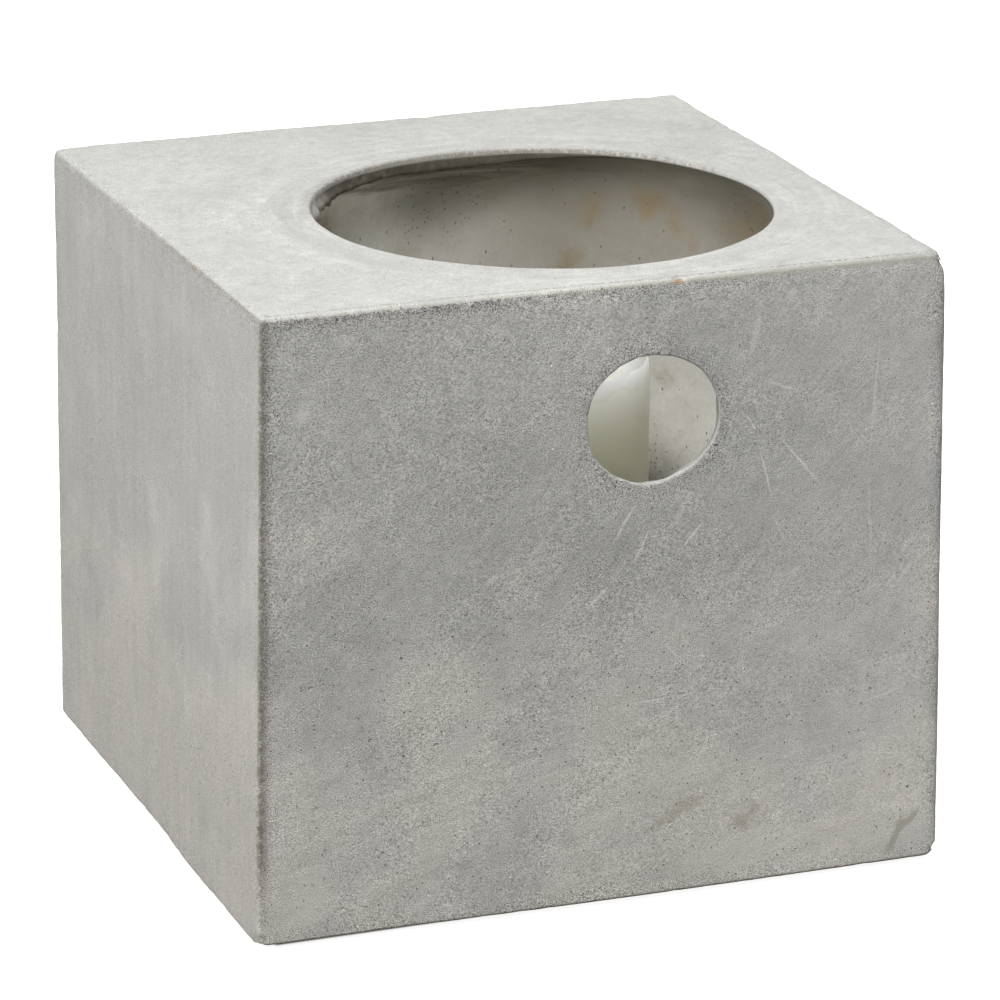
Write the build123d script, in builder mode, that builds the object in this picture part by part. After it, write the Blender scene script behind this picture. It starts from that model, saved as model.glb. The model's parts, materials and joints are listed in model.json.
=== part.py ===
"""Cast cement candle lantern.

A near-cubic cement casting, slightly narrower at the top, with a round opening in its top plate and a
round window in its front face. Both look into one round well that is wider than the opening above it.
A cement disc closes the well from below, four felt pads carry the block, and a pillar candle stands on
the disc, right under the opening.

Frame: millimetres, +Z up, front face towards -Y. The origin is on the ground under the block's centre.
"""
import os
from math import atan2, degrees

from build123d import *

# ---------------------------------------------------------------- driving dimensions
BASE_WIDTH = 300.0          # block, side of the square at its foot
BODY_HEIGHT = 264.0         # block, foot to top face
MOULD_DRAFT = 2.8           # how far each side leans in over the full height
EDGE_RADIUS = 3.0           # upright and top edges
FOOT_EDGE_RADIUS = 1.5      # edges of the underside

PAD_DIAMETER = 28.0         # felt feet
PAD_THICKNESS = 2.0
PAD_INSET = 32.0            # pad centre to the side of the block's foot

WELL_X = 18.0               # axis shared by the opening, the well and the candle
WELL_Y = -21.7
OPENING_RADIUS = 98.4       # round opening in the top plate
OPENING_EDGE_RADIUS = 2.5
LIP_HEIGHT = 7.0            # upright edge of the top plate round the opening
LIP_STEP = 1.6              # small undercut where the casting core began
WELL_RADIUS = 119.0         # well below the shoulder
SHOULDER_DEPTH = 40.0       # top face down to where the well reaches its full radius

WINDOW_X = 19.4             # round window in the front face
WINDOW_HEIGHT = 205.5       # window centre above the block's foot
WINDOW_RADIUS = 28.0

FLOOR_THICKNESS = 11.0      # disc that closes the well
FLOOR_RECESS = 1.0          # disc's lower face above the block's foot
FLOOR_JOINT = 0.3           # radial joint round the disc
FLOOR_EDGE = 0.8            # chamfer of the disc's edges

CANDLE_RADIUS = 47.0
CANDLE_HEIGHT = 188.0       # foot to the highest point of the rim
CANDLE_FOOT_RADIUS = 2.0
RIM_RADIUS = 1.5            # softened top of the rim
DISH_RADIUS = 42.0          # melted hollow in the candle's top, at the rim
DISH_DEPTH = 12.0

WICK_RADIUS = 1.5
WICK_ABOVE_DISH = 11.0
TAB_RADIUS = 10.0           # tin sustainer in the candle's base
TAB_THICKNESS = 0.6
COLLAR_RADIUS = 2.4
COLLAR_HEIGHT = 6.0
FIT_GAP = 0.08              # clearance of wick and sustainer in the wax

# ---------------------------------------------------------------- worked out
BODY_FOOT_Z = PAD_THICKNESS
BODY_TOP_Z = BODY_FOOT_Z + BODY_HEIGHT
DRAFT_ANGLE = degrees(atan2(MOULD_DRAFT, BODY_HEIGHT))
WINDOW_Z = BODY_FOOT_Z + WINDOW_HEIGHT
FLOOR_FOOT_Z = BODY_FOOT_Z + FLOOR_RECESS
CANDLE_FOOT_Z = FLOOR_FOOT_Z + FLOOR_THICKNESS
CANDLE_TOP_Z = CANDLE_FOOT_Z + CANDLE_HEIGHT
DISH_BOTTOM_Z = CANDLE_TOP_Z - DISH_DEPTH
WICK_BORE_RADIUS = WICK_RADIUS + FIT_GAP

ground = Plane.XY
well_axis = Axis((WELL_X, WELL_Y, 0), (0, 0, 1))
# upright plane through the well's axis, its local x along +X and local y along +Z
well_section = Plane((WELL_X, WELL_Y, 0), x_dir=(1, 0, 0), z_dir=(0, -1, 0))


def on_well_axis(height):
    """Level plane with its origin on the well's axis."""
    return Plane((WELL_X, WELL_Y, height))


# ---------------------------------------------------------------- cement body
with BuildPart() as cement_body:
    with BuildSketch(ground.offset(BODY_FOOT_Z)):
        Rectangle(BASE_WIDTH, BASE_WIDTH)
    extrude(amount=BODY_HEIGHT, taper=DRAFT_ANGLE)
    foot_edges = cement_body.edges().group_by(Axis.Z)[0]
    fillet(cement_body.edges() - foot_edges, radius=EDGE_RADIUS)
    fillet(cement_body.faces().sort_by(Axis.Z)[0].edges(), radius=FOOT_EDGE_RADIUS)

    # the well: an upright lip, a small undercut, a rounded shoulder and a straight wall, open below
    with BuildSketch(well_section):
        with BuildLine():
            lip_foot_z = BODY_TOP_Z - LIP_HEIGHT
            shoulder_z = BODY_TOP_Z - SHOULDER_DEPTH
            undercut_radius = OPENING_RADIUS + LIP_STEP
            lip = Line((OPENING_RADIUS, BODY_TOP_Z), (OPENING_RADIUS, lip_foot_z))
            undercut = Line(lip @ 1, (undercut_radius, lip_foot_z))
            shoulder = EllipticalCenterArc(
                center=(undercut_radius, shoulder_z),
                x_radius=WELL_RADIUS - undercut_radius,
                y_radius=lip_foot_z - shoulder_z,
                start_angle=0,
                arc_size=90,
            )
            wall = Line((WELL_RADIUS, shoulder_z), (WELL_RADIUS, 0))
            Polyline(wall @ 1, (0, 0), (0, BODY_TOP_Z), lip @ 0)
        make_face()
    revolve(axis=well_axis, mode=Mode.SUBTRACT)

    # the window, through the front wall only
    with BuildSketch(Plane((WINDOW_X, -BASE_WIDTH / 2, WINDOW_Z), x_dir=(1, 0, 0), z_dir=(0, -1, 0))):
        Circle(WINDOW_RADIUS)
    extrude(amount=-BASE_WIDTH / 8, mode=Mode.SUBTRACT)

    opening_edge = cement_body.edges().filter_by(GeomType.CIRCLE).group_by(Axis.Z)[-1]
    fillet(opening_edge, radius=OPENING_EDGE_RADIUS)

# ---------------------------------------------------------------- floor disc
with BuildPart() as floor_disc:
    with BuildSketch(on_well_axis(FLOOR_FOOT_Z)):
        Circle(WELL_RADIUS - FLOOR_JOINT)
    extrude(amount=FLOOR_THICKNESS)
    chamfer(floor_disc.edges().filter_by(GeomType.CIRCLE), length=FLOOR_EDGE)

# ---------------------------------------------------------------- felt pads
with BuildPart() as felt_pads:
    pad_spacing = BASE_WIDTH - 2 * PAD_INSET
    with BuildSketch(ground):
        with GridLocations(pad_spacing, pad_spacing, 2, 2):
            Circle(PAD_DIAMETER / 2)
    extrude(amount=PAD_THICKNESS)

# ---------------------------------------------------------------- candle wax
# The melted hollow is a shallow dish: part of a sphere that meets the candle's top at DISH_RADIUS.
dish_sphere_radius = (DISH_RADIUS**2 + DISH_DEPTH**2) / (2 * DISH_DEPTH)
dish_centre_z = DISH_BOTTOM_Z + dish_sphere_radius
with BuildPart() as candle_wax:
    with BuildSketch(on_well_axis(CANDLE_FOOT_Z)):
        Circle(CANDLE_RADIUS)
    extrude(amount=CANDLE_HEIGHT)
    rim_edge = candle_wax.edges().filter_by(GeomType.CIRCLE).sort_by(Axis.Z)[-1]
    foot_edge = candle_wax.edges().filter_by(GeomType.CIRCLE).sort_by(Axis.Z)[0]
    fillet(foot_edge, radius=CANDLE_FOOT_RADIUS)
    fillet(rim_edge, radius=RIM_RADIUS)
    with Locations((WELL_X, WELL_Y, dish_centre_z)):
        Sphere(dish_sphere_radius, mode=Mode.SUBTRACT)
    # bore for the wick, and the pocket that the sustainer sits in
    with BuildSketch(on_well_axis(CANDLE_FOOT_Z)):
        Circle(WICK_BORE_RADIUS)
    extrude(amount=CANDLE_HEIGHT, mode=Mode.SUBTRACT)
    with BuildSketch(on_well_axis(CANDLE_FOOT_Z)):
        Circle(COLLAR_RADIUS + FIT_GAP)
    extrude(amount=TAB_THICKNESS + COLLAR_HEIGHT + FIT_GAP, mode=Mode.SUBTRACT)
    with BuildSketch(on_well_axis(CANDLE_FOOT_Z)):
        Circle(TAB_RADIUS + FIT_GAP)
    extrude(amount=TAB_THICKNESS + FIT_GAP, mode=Mode.SUBTRACT)

# ---------------------------------------------------------------- wick
wick_foot_z = CANDLE_FOOT_Z + TAB_THICKNESS
wick_length = DISH_BOTTOM_Z + WICK_ABOVE_DISH - wick_foot_z
with BuildPart() as candle_wick:
    with BuildSketch(on_well_axis(wick_foot_z)):
        Circle(WICK_RADIUS)
    extrude(amount=wick_length)
    fillet(candle_wick.edges().sort_by(Axis.Z)[-1], radius=WICK_RADIUS / 2)

# ---------------------------------------------------------------- wick tab
with BuildPart() as wick_tab:
    with BuildSketch(on_well_axis(CANDLE_FOOT_Z)):
        Circle(TAB_RADIUS)
    extrude(amount=TAB_THICKNESS)
    with BuildSketch(on_well_axis(wick_foot_z)):
        Circle(COLLAR_RADIUS)
        Circle(WICK_BORE_RADIUS, mode=Mode.SUBTRACT)
    extrude(amount=COLLAR_HEIGHT)

# ---------------------------------------------------------------- labels and export
pieces = {
    "cement_body": cement_body,
    "floor_disc": floor_disc,
    "felt_pads": felt_pads,
    "candle_wax": candle_wax,
    "candle_wick": candle_wick,
    "wick_tab": wick_tab,
}
os.makedirs("parts", exist_ok=True)
for name, piece in pieces.items():
    piece.part.label = name
    export_step(piece.part, f"parts/{name}.step")
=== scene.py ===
"""Looks of a cast cement candle lantern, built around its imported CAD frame.

Shapes and materials are in millimetres, and a mesh is scaled to metres when it is made; only the studio at
the end is in metres. The block, its well and the candle are placed by the frame: the boxes of the CAD nodes
and the two round openings that the record names. Front is towards -Y and the origin is under the block.
"""
import json
import math
from collections import namedtuple
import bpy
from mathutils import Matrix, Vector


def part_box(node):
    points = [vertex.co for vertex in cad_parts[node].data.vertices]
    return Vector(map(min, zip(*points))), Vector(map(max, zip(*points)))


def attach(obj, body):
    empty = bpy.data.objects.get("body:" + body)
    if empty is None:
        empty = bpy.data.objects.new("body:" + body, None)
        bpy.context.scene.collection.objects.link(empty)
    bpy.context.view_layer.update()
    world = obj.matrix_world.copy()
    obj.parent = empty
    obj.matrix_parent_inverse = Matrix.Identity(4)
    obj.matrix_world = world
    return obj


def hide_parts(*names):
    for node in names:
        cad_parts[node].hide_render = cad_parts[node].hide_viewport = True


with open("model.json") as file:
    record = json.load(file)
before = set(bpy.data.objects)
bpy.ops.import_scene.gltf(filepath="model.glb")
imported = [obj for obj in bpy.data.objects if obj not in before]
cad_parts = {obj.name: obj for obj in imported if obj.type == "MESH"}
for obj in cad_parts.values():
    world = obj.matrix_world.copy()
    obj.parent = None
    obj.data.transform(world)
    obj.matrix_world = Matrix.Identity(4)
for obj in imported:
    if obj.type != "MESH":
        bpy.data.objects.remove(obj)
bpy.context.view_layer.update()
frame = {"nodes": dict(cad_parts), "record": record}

from types import SimpleNamespace

import bpy
import numpy as np
from mathutils import Vector, noise

MM = 0.001
SEED = 11


# ================ sizes from the frame
def mount(name):
    """Place in millimetres and dimensions of one of the record's mounts."""
    entry = next(m for m in frame["record"]["mounts"] if m["name"] == name)
    return Vector(entry["pos_m"]) / MM, entry["dims"]


def box_mm(node):
    """Lowest and highest corner of a CAD node's box, in millimetres."""
    low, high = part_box(node)
    return low / MM, high / MM


opening_place, opening_dims = mount("top_opening")
window_place, window_dims = mount("front_window")
AXIS = np.array(opening_place[:2])
OPENING_RADIUS = opening_dims["r_mm"]
WINDOW_X = window_place.x
WINDOW_Z = window_place.z
WINDOW_RADIUS = window_dims["r_mm"]

block_low, block_high = box_mm("cement_body")
FOOT = block_low.z
TOP = block_high.z
HALF_WIDTH = 150.0  # half the block's foot
DRAFT = 2.8  # how far each side leans in over the full height

floor_low, floor_high = box_mm("floor_disc")
FLOOR_RADIUS = floor_high.x - AXIS[0]
FLOOR_JOINT = 0.3  # radial joint round the floor disc
WELL_RADIUS = FLOOR_RADIUS + FLOOR_JOINT
SHOULDER_Z = TOP - 40.0  # the well has its full radius below this
LIP_FOOT = TOP - 7.0  # lowest point of the upright lip round the opening
EDGE = 1.6  # rounding of the block's upper edges where they are least worn
FOOT_EDGE = 1.0  # rounding of the foot's edges
WELL_FOOT_EDGE = 1.2  # bevel where the well's wall meets the underside
RIM = 1.2  # rounding of the opening's rim


def half_width(z):
    """Half the block's width at a height."""
    return HALF_WIDTH - DRAFT * (z - FOOT) / (TOP - FOOT)


# ================ helpers for shapes
def smooth(low, high, value):
    """0 below low, 1 above high and smooth between; low may be the larger one."""
    t = np.clip((value - low) / (high - low), 0.0, 1.0)
    return t * t * (3 - 2 * t)


def fbm(points, size, octaves=3, seed=0):
    """Fractal noise, about -1 to 1, with features about `size` millimetres across."""
    shift = Vector((seed * 17.3 + SEED, seed * 5.1, seed * 11.7))
    return np.array([noise.fractal(Vector(p) / size + shift, 1.0, 2.0, octaves) for p in points])


def on_circle(centre, radius, angles):
    """Flat points round a centre; the radius may differ from point to point."""
    return centre + np.column_stack([np.cos(angles), np.sin(angles)]) * np.reshape(radius, (-1, 1))


def level(ring, z):
    """A flat ring of points lifted to a height, which may differ from point to point."""
    return np.column_stack([ring, np.broadcast_to(z, len(ring))])


def vertex_normals(points, faces):
    """Normals at the points, as Blender works them out."""
    mesh = bpy.data.meshes.new("normals")
    mesh.from_pydata(points.tolist(), [], faces)
    mesh.update()
    normals = np.zeros(len(points) * 3, np.float32)
    mesh.vertices.foreach_get("normal", normals)
    bpy.data.meshes.remove(mesh)
    return normals.reshape(-1, 3).astype(float)


def make_piece(name, points, faces, material, attributes=None):
    """A smooth-shaded object from points in millimetres, with per-vertex values for its material."""
    mesh = bpy.data.meshes.new(name)
    mesh.from_pydata((np.asarray(points) * MM).tolist(), [], faces)
    for key, values in (attributes or {}).items():
        layer = mesh.attributes.new(key, "FLOAT", "POINT")
        layer.data.foreach_set("value", np.asarray(values, np.float32))
    mesh.validate()
    mesh.shade_smooth()
    mesh.materials.append(material)
    piece = bpy.data.objects.new(name, mesh)
    bpy.context.scene.collection.objects.link(piece)
    return piece


def hand_over(piece, node, body):
    """A finished piece stands in for a CAD node and moves with its body."""
    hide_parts(node)
    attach(piece, body)


def ring_faces(rows, count, close_rows=False):
    """Quads of a grid of rings, each ring closed on itself."""
    faces = []
    for j in range(rows if close_rows else rows - 1):
        a, b = j * count, (j + 1) % rows * count
        for i in range(count):
            k = (i + 1) % count
            faces.append((a + i, a + k, b + k, b + i))
    return faces


def stitch(loops):
    """Quads between closed loops of point numbers, each loop joined to the next."""
    faces = []
    for a, b in zip(loops, loops[1:]):
        for i in range(len(a)):
            k = (i + 1) % len(a)
            faces.append((a[i], a[k], b[k], b[i]))
    return faces


def turned(profile, angles, centre):
    """Rings of (radius, height) pairs round an upright axis, closed at both ends with a centre point."""
    rings = [level(on_circle(centre, radius, angles), z) for radius, z in profile]
    points = np.vstack(rings)
    count = len(angles)
    faces = ring_faces(len(rings), count)
    for ring, flip in ((0, True), (len(rings) - 1, False)):
        first = ring * count
        middle = len(points)
        height = points[first:first + count, 2].mean()
        points = np.vstack([points, [centre[0], centre[1], height]])
        for i in range(count):
            pair = (first + i, first + (i + 1) % count)
            faces.append((*(pair[::-1] if flip else pair), middle))
    return points, faces


# ================ the cement block's shape
SIDE_COLUMNS = (200, 54, 54, 76)  # front, right, back, left
CORNER_RADII = (2.6, 2.2, 2.2, 1.8)  # front right, back right, back left, front left
CORNER_STEPS = 6
STRAIGHTER = 1.7  # the right and back sides lean in by this much less
SPLAY = 2.0  # the left side's foot stands out near the front
SET_BACK = 2.4  # the front's foot stands back near the left
CORNERS = ((1, -1), (1, 1), (-1, 1), (-1, -1))
OPENING_OVAL = 1.3  # the opening is longer than wide by this much, each way
OPENING_LONG_AXIS = math.radians(-73)
OPENING_DRIFT = (1.2, 1.5)  # and its outline sits this far off its nominal centre, in x and y
UNDERCUT = 1.6  # the well steps back by this much below the lip
UNDERCUT_DROP = 0.3  # over this height
SHOULDER_START = math.radians(80)  # the shoulder's topmost ring; 90 degrees is at the lip
PATCH = 36.0  # half the square round the window that is meshed apart


def outline(half, shrink=0.0):
    """Rounded square, counter-clockwise from the left end of the front side."""
    radii = [max(radius - shrink, 0.35) for radius in CORNER_RADII]
    points = []
    for side in range(4):
        turn = math.radians(90 * side - 90)
        outward = np.array([math.cos(turn), math.sin(turn)])
        centre_before = np.array(CORNERS[side - 1]) * (half - radii[side - 1])
        centre = np.array(CORNERS[side]) * (half - radii[side])
        start = centre_before + outward * radii[side - 1]
        end = centre + outward * radii[side]
        for k in range(1, SIDE_COLUMNS[side]):
            points.append(start + (end - start) * k / SIDE_COLUMNS[side])
        for k in range(CORNER_STEPS + 1):
            angle = turn + math.pi / 2 * k / CORNER_STEPS
            points.append(centre + radii[side] * np.array([math.cos(angle), math.sin(angle)]))
    return np.array(points)


middle_outline = outline(half_width((FOOT + TOP) / 2))
ANGLES = np.arctan2(middle_outline[:, 1] - AXIS[1], middle_outline[:, 0] - AXIS[0])
COLUMNS = len(ANGLES)


def bell(angle, centre_degrees, width_degrees):
    """1 at one direction round the well's axis, falling to 0 beyond the width."""
    away = np.abs((np.degrees(angle) - centre_degrees + 180) % 360 - 180)
    return smooth(width_degrees, width_degrees * 0.35, away)


def lip_strength(angle):
    """How deep and rough the lip is: fully at the back left and in front, and hardly at the right."""
    return 0.06 + 0.94 * np.maximum(bell(angle, 118, 72), bell(angle, -90, 70))


def opening_outline(angle):
    """Radius of the opening: slightly oval, and drifted off its nominal centre."""
    radius = OPENING_RADIUS - 0.1 + OPENING_OVAL * np.cos(2 * (angle - OPENING_LONG_AXIS))
    return radius + OPENING_DRIFT[0] * np.cos(angle) + OPENING_DRIFT[1] * np.sin(angle)


def lip_foot(angle):
    """Height at which the upright lip ends."""
    return TOP - RIM - (TOP - RIM - LIP_FOOT) * lip_strength(angle)


def undercut_outline(angle):
    """Radius of the well right below the lip."""
    return opening_outline(angle) + UNDERCUT * lip_strength(angle)


def well_radius(z, angle):
    """Radius of the well: a rounded shoulder under the lip, then a straight wall."""
    top_radius = undercut_outline(angle)
    rise = np.clip((z - SHOULDER_Z) / (lip_foot(angle) - SHOULDER_Z), 0, 1)
    return top_radius + (WELL_RADIUS - top_radius) * np.sqrt(1 - rise**2)


def steps(start, end, size):
    """Even stations from start up to but not including end, about `size` apart."""
    count = max(1, round(abs(end - start) / size))
    return list(np.linspace(start, end, count, endpoint=False))


PATCH_ROWS = 24
patch_low, patch_high = WINDOW_Z - PATCH, WINDOW_Z + PATCH
patch_heights = list(np.linspace(patch_low, patch_high, PATCH_ROWS + 1))


def wall_ring(z, inset=0.0):
    """The block's outline at a height, drawn in by an inset."""
    return level(outline(half_width(z) - inset, inset), z)


def underside_rows():
    """From the well's lower end out to the foot's edge, and round that edge."""
    edge_in = outline(half_width(FOOT) - FOOT_EDGE, FOOT_EDGE)
    hole = on_circle(AXIS, WELL_RADIUS + WELL_FOOT_EDGE, ANGLES)
    rows = [level(hole + (edge_in - hole) * t, FOOT) for t in np.linspace(0, 1, 9)]
    for k in range(1, 4):
        turn = math.pi / 2 * k / 4
        rows.append(wall_ring(FOOT + FOOT_EDGE * (1 - math.cos(turn)), FOOT_EDGE * (1 - math.sin(turn))))
    return rows


def top_rows():
    """Round the upper edge and over the top face, with closer rings near its edge and near the opening."""
    rows = []
    for k in range(7):
        turn = math.pi / 2 * k / 6
        rows.append(wall_ring(TOP - EDGE + EDGE * math.sin(turn), EDGE * (1 - math.cos(turn))))
    edge_in = outline(half_width(TOP) - EDGE, EDGE)
    rim_out = on_circle(AXIS, opening_outline(ANGLES) + RIM, ANGLES)
    for t in np.linspace(0, 1, 21)[1:]:
        t = t - 0.12 * math.sin(2 * math.pi * t)
        rows.append(level(edge_in + (rim_out - edge_in) * t, TOP))
    return rows


def rim_rows():
    """Round the rim of the opening."""
    rows = []
    for k in range(1, 6):
        turn = math.pi / 2 * k / 5
        radius = opening_outline(ANGLES) + RIM * (1 - math.sin(turn))
        rows.append(level(on_circle(AXIS, radius, ANGLES), TOP - RIM * (1 - math.cos(turn))))
    return rows


def lip_rows():
    """Down the upright lip and out into the undercut below it."""
    lip_end = lip_foot(ANGLES)
    lip = on_circle(AXIS, opening_outline(ANGLES), ANGLES)
    rows = [level(lip, TOP - RIM + (lip_end - TOP + RIM) * t) for t in (0.25, 0.5, 0.75, 1.0)]
    rows.append(level(on_circle(AXIS, undercut_outline(ANGLES), ANGLES), lip_end - UNDERCUT_DROP))
    return rows


def shoulder_heights():
    """Heights of the rings on the well's shoulder, closer together near the lip."""
    rise = lip_foot(ANGLES) - SHOULDER_Z
    shoulder_end = np.arcsin((patch_high - SHOULDER_Z) / rise)
    turns = np.linspace(np.full(COLUMNS, SHOULDER_START), shoulder_end, 8, endpoint=False)
    return [SHOULDER_Z + rise * np.sin(turn) for turn in turns]


def block_rows():
    """Rings of the block, from the well's lower end round the outside and back down the well."""
    below_patch = steps(FOOT + FOOT_EDGE, FOOT + 8, 1.1) + steps(FOOT + 8, patch_low, 3.0)
    above_patch = steps(patch_high, TOP - 10, 3.0) + steps(TOP - 10, TOP - EDGE, 1.1)
    well_end = FOOT + WELL_FOOT_EDGE
    marks = {}
    rows = underside_rows()
    marks["outer"] = len(rows) + len(below_patch)
    rows += [wall_ring(z) for z in below_patch + patch_heights[:-1] + above_patch]
    rows += top_rows() + rim_rows()
    marks["lip"] = len(rows)
    rows += lip_rows()
    marks["well"] = len(rows)
    shoulder = shoulder_heights()
    marks["inner"] = len(rows) + len(shoulder)
    for z in shoulder + patch_heights[::-1][:-1] + steps(patch_low, well_end, 6.5) + [well_end]:
        rows.append(level(on_circle(AXIS, well_radius(z, ANGLES), ANGLES), z))
    return rows, marks


def window_outline(angle, inside):
    """Radius of the hand-finished window at an angle; inside, its edge is broken back, most on the right."""
    radius = WINDOW_RADIUS * (1 + 0.02 * np.cos(2 * angle))
    radius += 0.3 * np.sin(3 * angle + 0.6) + 0.16 * np.sin(7 * angle + 2.0)
    radius -= 0.7 * bell(angle, -52, 30) + 1.3 * bell(angle, -92, 55)
    if inside:
        radius += 1.6 + 3.0 * bell(angle, 20, 75) + 0.9 * bell(angle, -48, 45) + 0.25 * np.sin(9 * angle)
    return radius


def front_y(z):
    return -half_width(z)


def well_y(x, z):
    """Near wall of the well, behind the front face."""
    angle = -np.arccos(np.clip((x - AXIS[0]) / WELL_RADIUS, -1, 1))
    return AXIS[1] - np.sqrt(well_radius(z, angle) ** 2 - (x - AXIS[0]) ** 2)


FRONT_BREAK, BACK_BREAK = 1.1, 0.5  # rounding of the window's two edges
FIRST_INNER_RING = 14  # of the window's rings, the first that belongs to the well


def window_rings(outer_loop, inner_loop):
    """Rings of points from the patch on the front face, through the window, to the patch in the well."""
    centre = np.array([WINDOW_X, WINDOW_Z])
    outer_angle = np.arctan2(outer_loop[:, 2] - WINDOW_Z, outer_loop[:, 0] - WINDOW_X)
    inner_angle = np.arctan2(inner_loop[:, 2] - WINDOW_Z, inner_loop[:, 0] - WINDOW_X)
    front_radius = window_outline(outer_angle, False)
    back_radius = window_outline(inner_angle, True)
    rings = []

    def add(flat, y):
        rings.append(np.column_stack([flat[:, 0], y, flat[:, 1]]))

    start = outer_loop[:, [0, 2]]
    end = on_circle(centre, front_radius + FRONT_BREAK, outer_angle)
    for t in (0.3, 0.52, 0.7, 0.84, 0.94, 1.0):
        flat = start + (end - start) * t
        add(flat, front_y(flat[:, 1]))
    for turn in (0.4, 0.8, 1.2, math.pi / 2):
        flat = on_circle(centre, front_radius + FRONT_BREAK * (1 - math.sin(turn)), outer_angle)
        add(flat, front_y(flat[:, 1]) + FRONT_BREAK * (1 - math.cos(turn)))
    for t in (0.35, 0.7, 0.95):
        flat = on_circle(centre, front_radius + (back_radius - front_radius) * t,
                         outer_angle + (inner_angle - outer_angle) * t)
        near = front_y(flat[:, 1]) + FRONT_BREAK
        far = well_y(flat[:, 0], flat[:, 1]) - BACK_BREAK
        add(flat, near + (far - near) * t)
    for turn in (0.0, 0.8, math.pi / 2):
        flat = on_circle(centre, back_radius + BACK_BREAK * (1 - math.cos(turn)), inner_angle)
        add(flat, well_y(flat[:, 0], flat[:, 1]) - BACK_BREAK * (1 - math.sin(turn)))
    start = on_circle(centre, back_radius + BACK_BREAK, inner_angle)
    end = inner_loop[:, [0, 2]]
    for t in (0.25, 0.6):
        flat = start + (end - start) * t
        add(flat, well_y(flat[:, 0], flat[:, 1]))
    return rings


def patch_border(low, high, left, right):
    """Point numbers round a patch, counter-clockwise seen from the front; low and high are its rows."""
    climb = 1 if high > low else -1
    border = [(low, column) for column in range(left, right)]
    border += [(row, right) for row in range(low, high, climb)]
    border += [(high, column) for column in range(right, left, -1)]
    border += [(row, left) for row in range(high, low, -climb)]
    return [row * COLUMNS + column for row, column in border]


def drop_unused(points, faces, row_of):
    """Leave out the points that no face uses, which lie inside the two patches."""
    used = np.zeros(len(points), bool)
    used[np.unique(np.array(faces).ravel())] = True
    new_id = np.cumsum(used) - 1
    faces = [tuple(int(new_id[v]) for v in face) for face in faces]
    return points[used], faces, row_of[used]


def block_mesh():
    """Points and faces of the block, each point's row, and the rows where its parts begin.

    The rings are cut out round the window, on the front face and in the well, and rings round the window fill
    the gap. Those count their rows down from -1.
    """
    rows, marks = block_rows()
    points = np.vstack(rows)
    front_x = outline(half_width(WINDOW_Z))[:SIDE_COLUMNS[0] - 1, 0]
    left, right = (int(np.argmin(np.abs(front_x - (WINDOW_X + reach)))) for reach in (-PATCH, PATCH))
    patches = [range(marks[name], marks[name] + PATCH_ROWS) for name in ("outer", "inner")]
    faces = []
    for number, face in enumerate(ring_faces(len(rows), COLUMNS, close_rows=True)):
        row, column = divmod(number, COLUMNS)
        if not (left <= column < right and any(row in patch for patch in patches)):
            faces.append(face)

    outer, inner = patches
    outer_ids = patch_border(outer.start, outer.stop, left, right)
    inner_ids = patch_border(inner.stop, inner.start, left, right)
    rings = window_rings(points[outer_ids], points[inner_ids])
    ring_ids = len(points) + np.arange(len(rings) * len(outer_ids)).reshape(len(rings), -1)
    faces += stitch([outer_ids, *ring_ids.tolist(), inner_ids])

    points = np.vstack([points] + rings)
    window_row = np.repeat(-1 - np.arange(len(rings)), len(outer_ids))
    row_of = np.concatenate([np.repeat(np.arange(len(rows)), COLUMNS), window_row])
    return *drop_unused(points, faces, row_of), marks


Chip = namedtuple("Chip", "x y z size depth")
CHIP_X = 30.4  # the chip with a brown heart in the front upper edge


def edge_chips():
    """Small losses along the block's edges: five that stand out, and a scatter of tiny ones."""
    rng = np.random.default_rng(SEED)
    top_half = half_width(TOP)
    chips = [
        Chip(CHIP_X, -top_half + 0.8, TOP, 2.8, 1.3),
        Chip(HALF_WIDTH, -HALF_WIDTH, FOOT + 1, 4.0, 1.8),
        Chip(-HALF_WIDTH, -HALF_WIDTH, FOOT + 1, 3.6, 1.3),
        Chip(-top_half, top_half, TOP, 3.6, 0.9),
        Chip(top_half, -top_half, TOP, 6.5, 2.4),
    ]
    for _ in range(70):
        along = rng.uniform(-0.97, 0.97)
        across = rng.choice([-1, 1])
        size = rng.uniform(0.9, 2.6)
        depth = size * rng.uniform(0.15, 0.4)
        place = rng.integers(3)
        if place == 0:
            chips.append(Chip(along * top_half, across * top_half, TOP, size, depth))
        elif place == 1:
            chips.append(Chip(across * top_half, along * top_half, TOP, size, depth))
        else:
            z = FOOT + (along + 1) / 2 * (TOP - FOOT)
            chips.append(Chip(across * half_width(z), rng.choice([-1, 1]) * half_width(z), z, size, depth))
    return chips


# ================ stains, marks and painted shadow, painted on the mesh
Mark = namedtuple("Mark", "x z length width lean strength")
WallMark = namedtuple("WallMark", "degrees depth radius strength")


def rows_of(kind, *rows):
    """Marks or stains, one from each row of values."""
    return [kind(*row) for row in rows]


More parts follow.
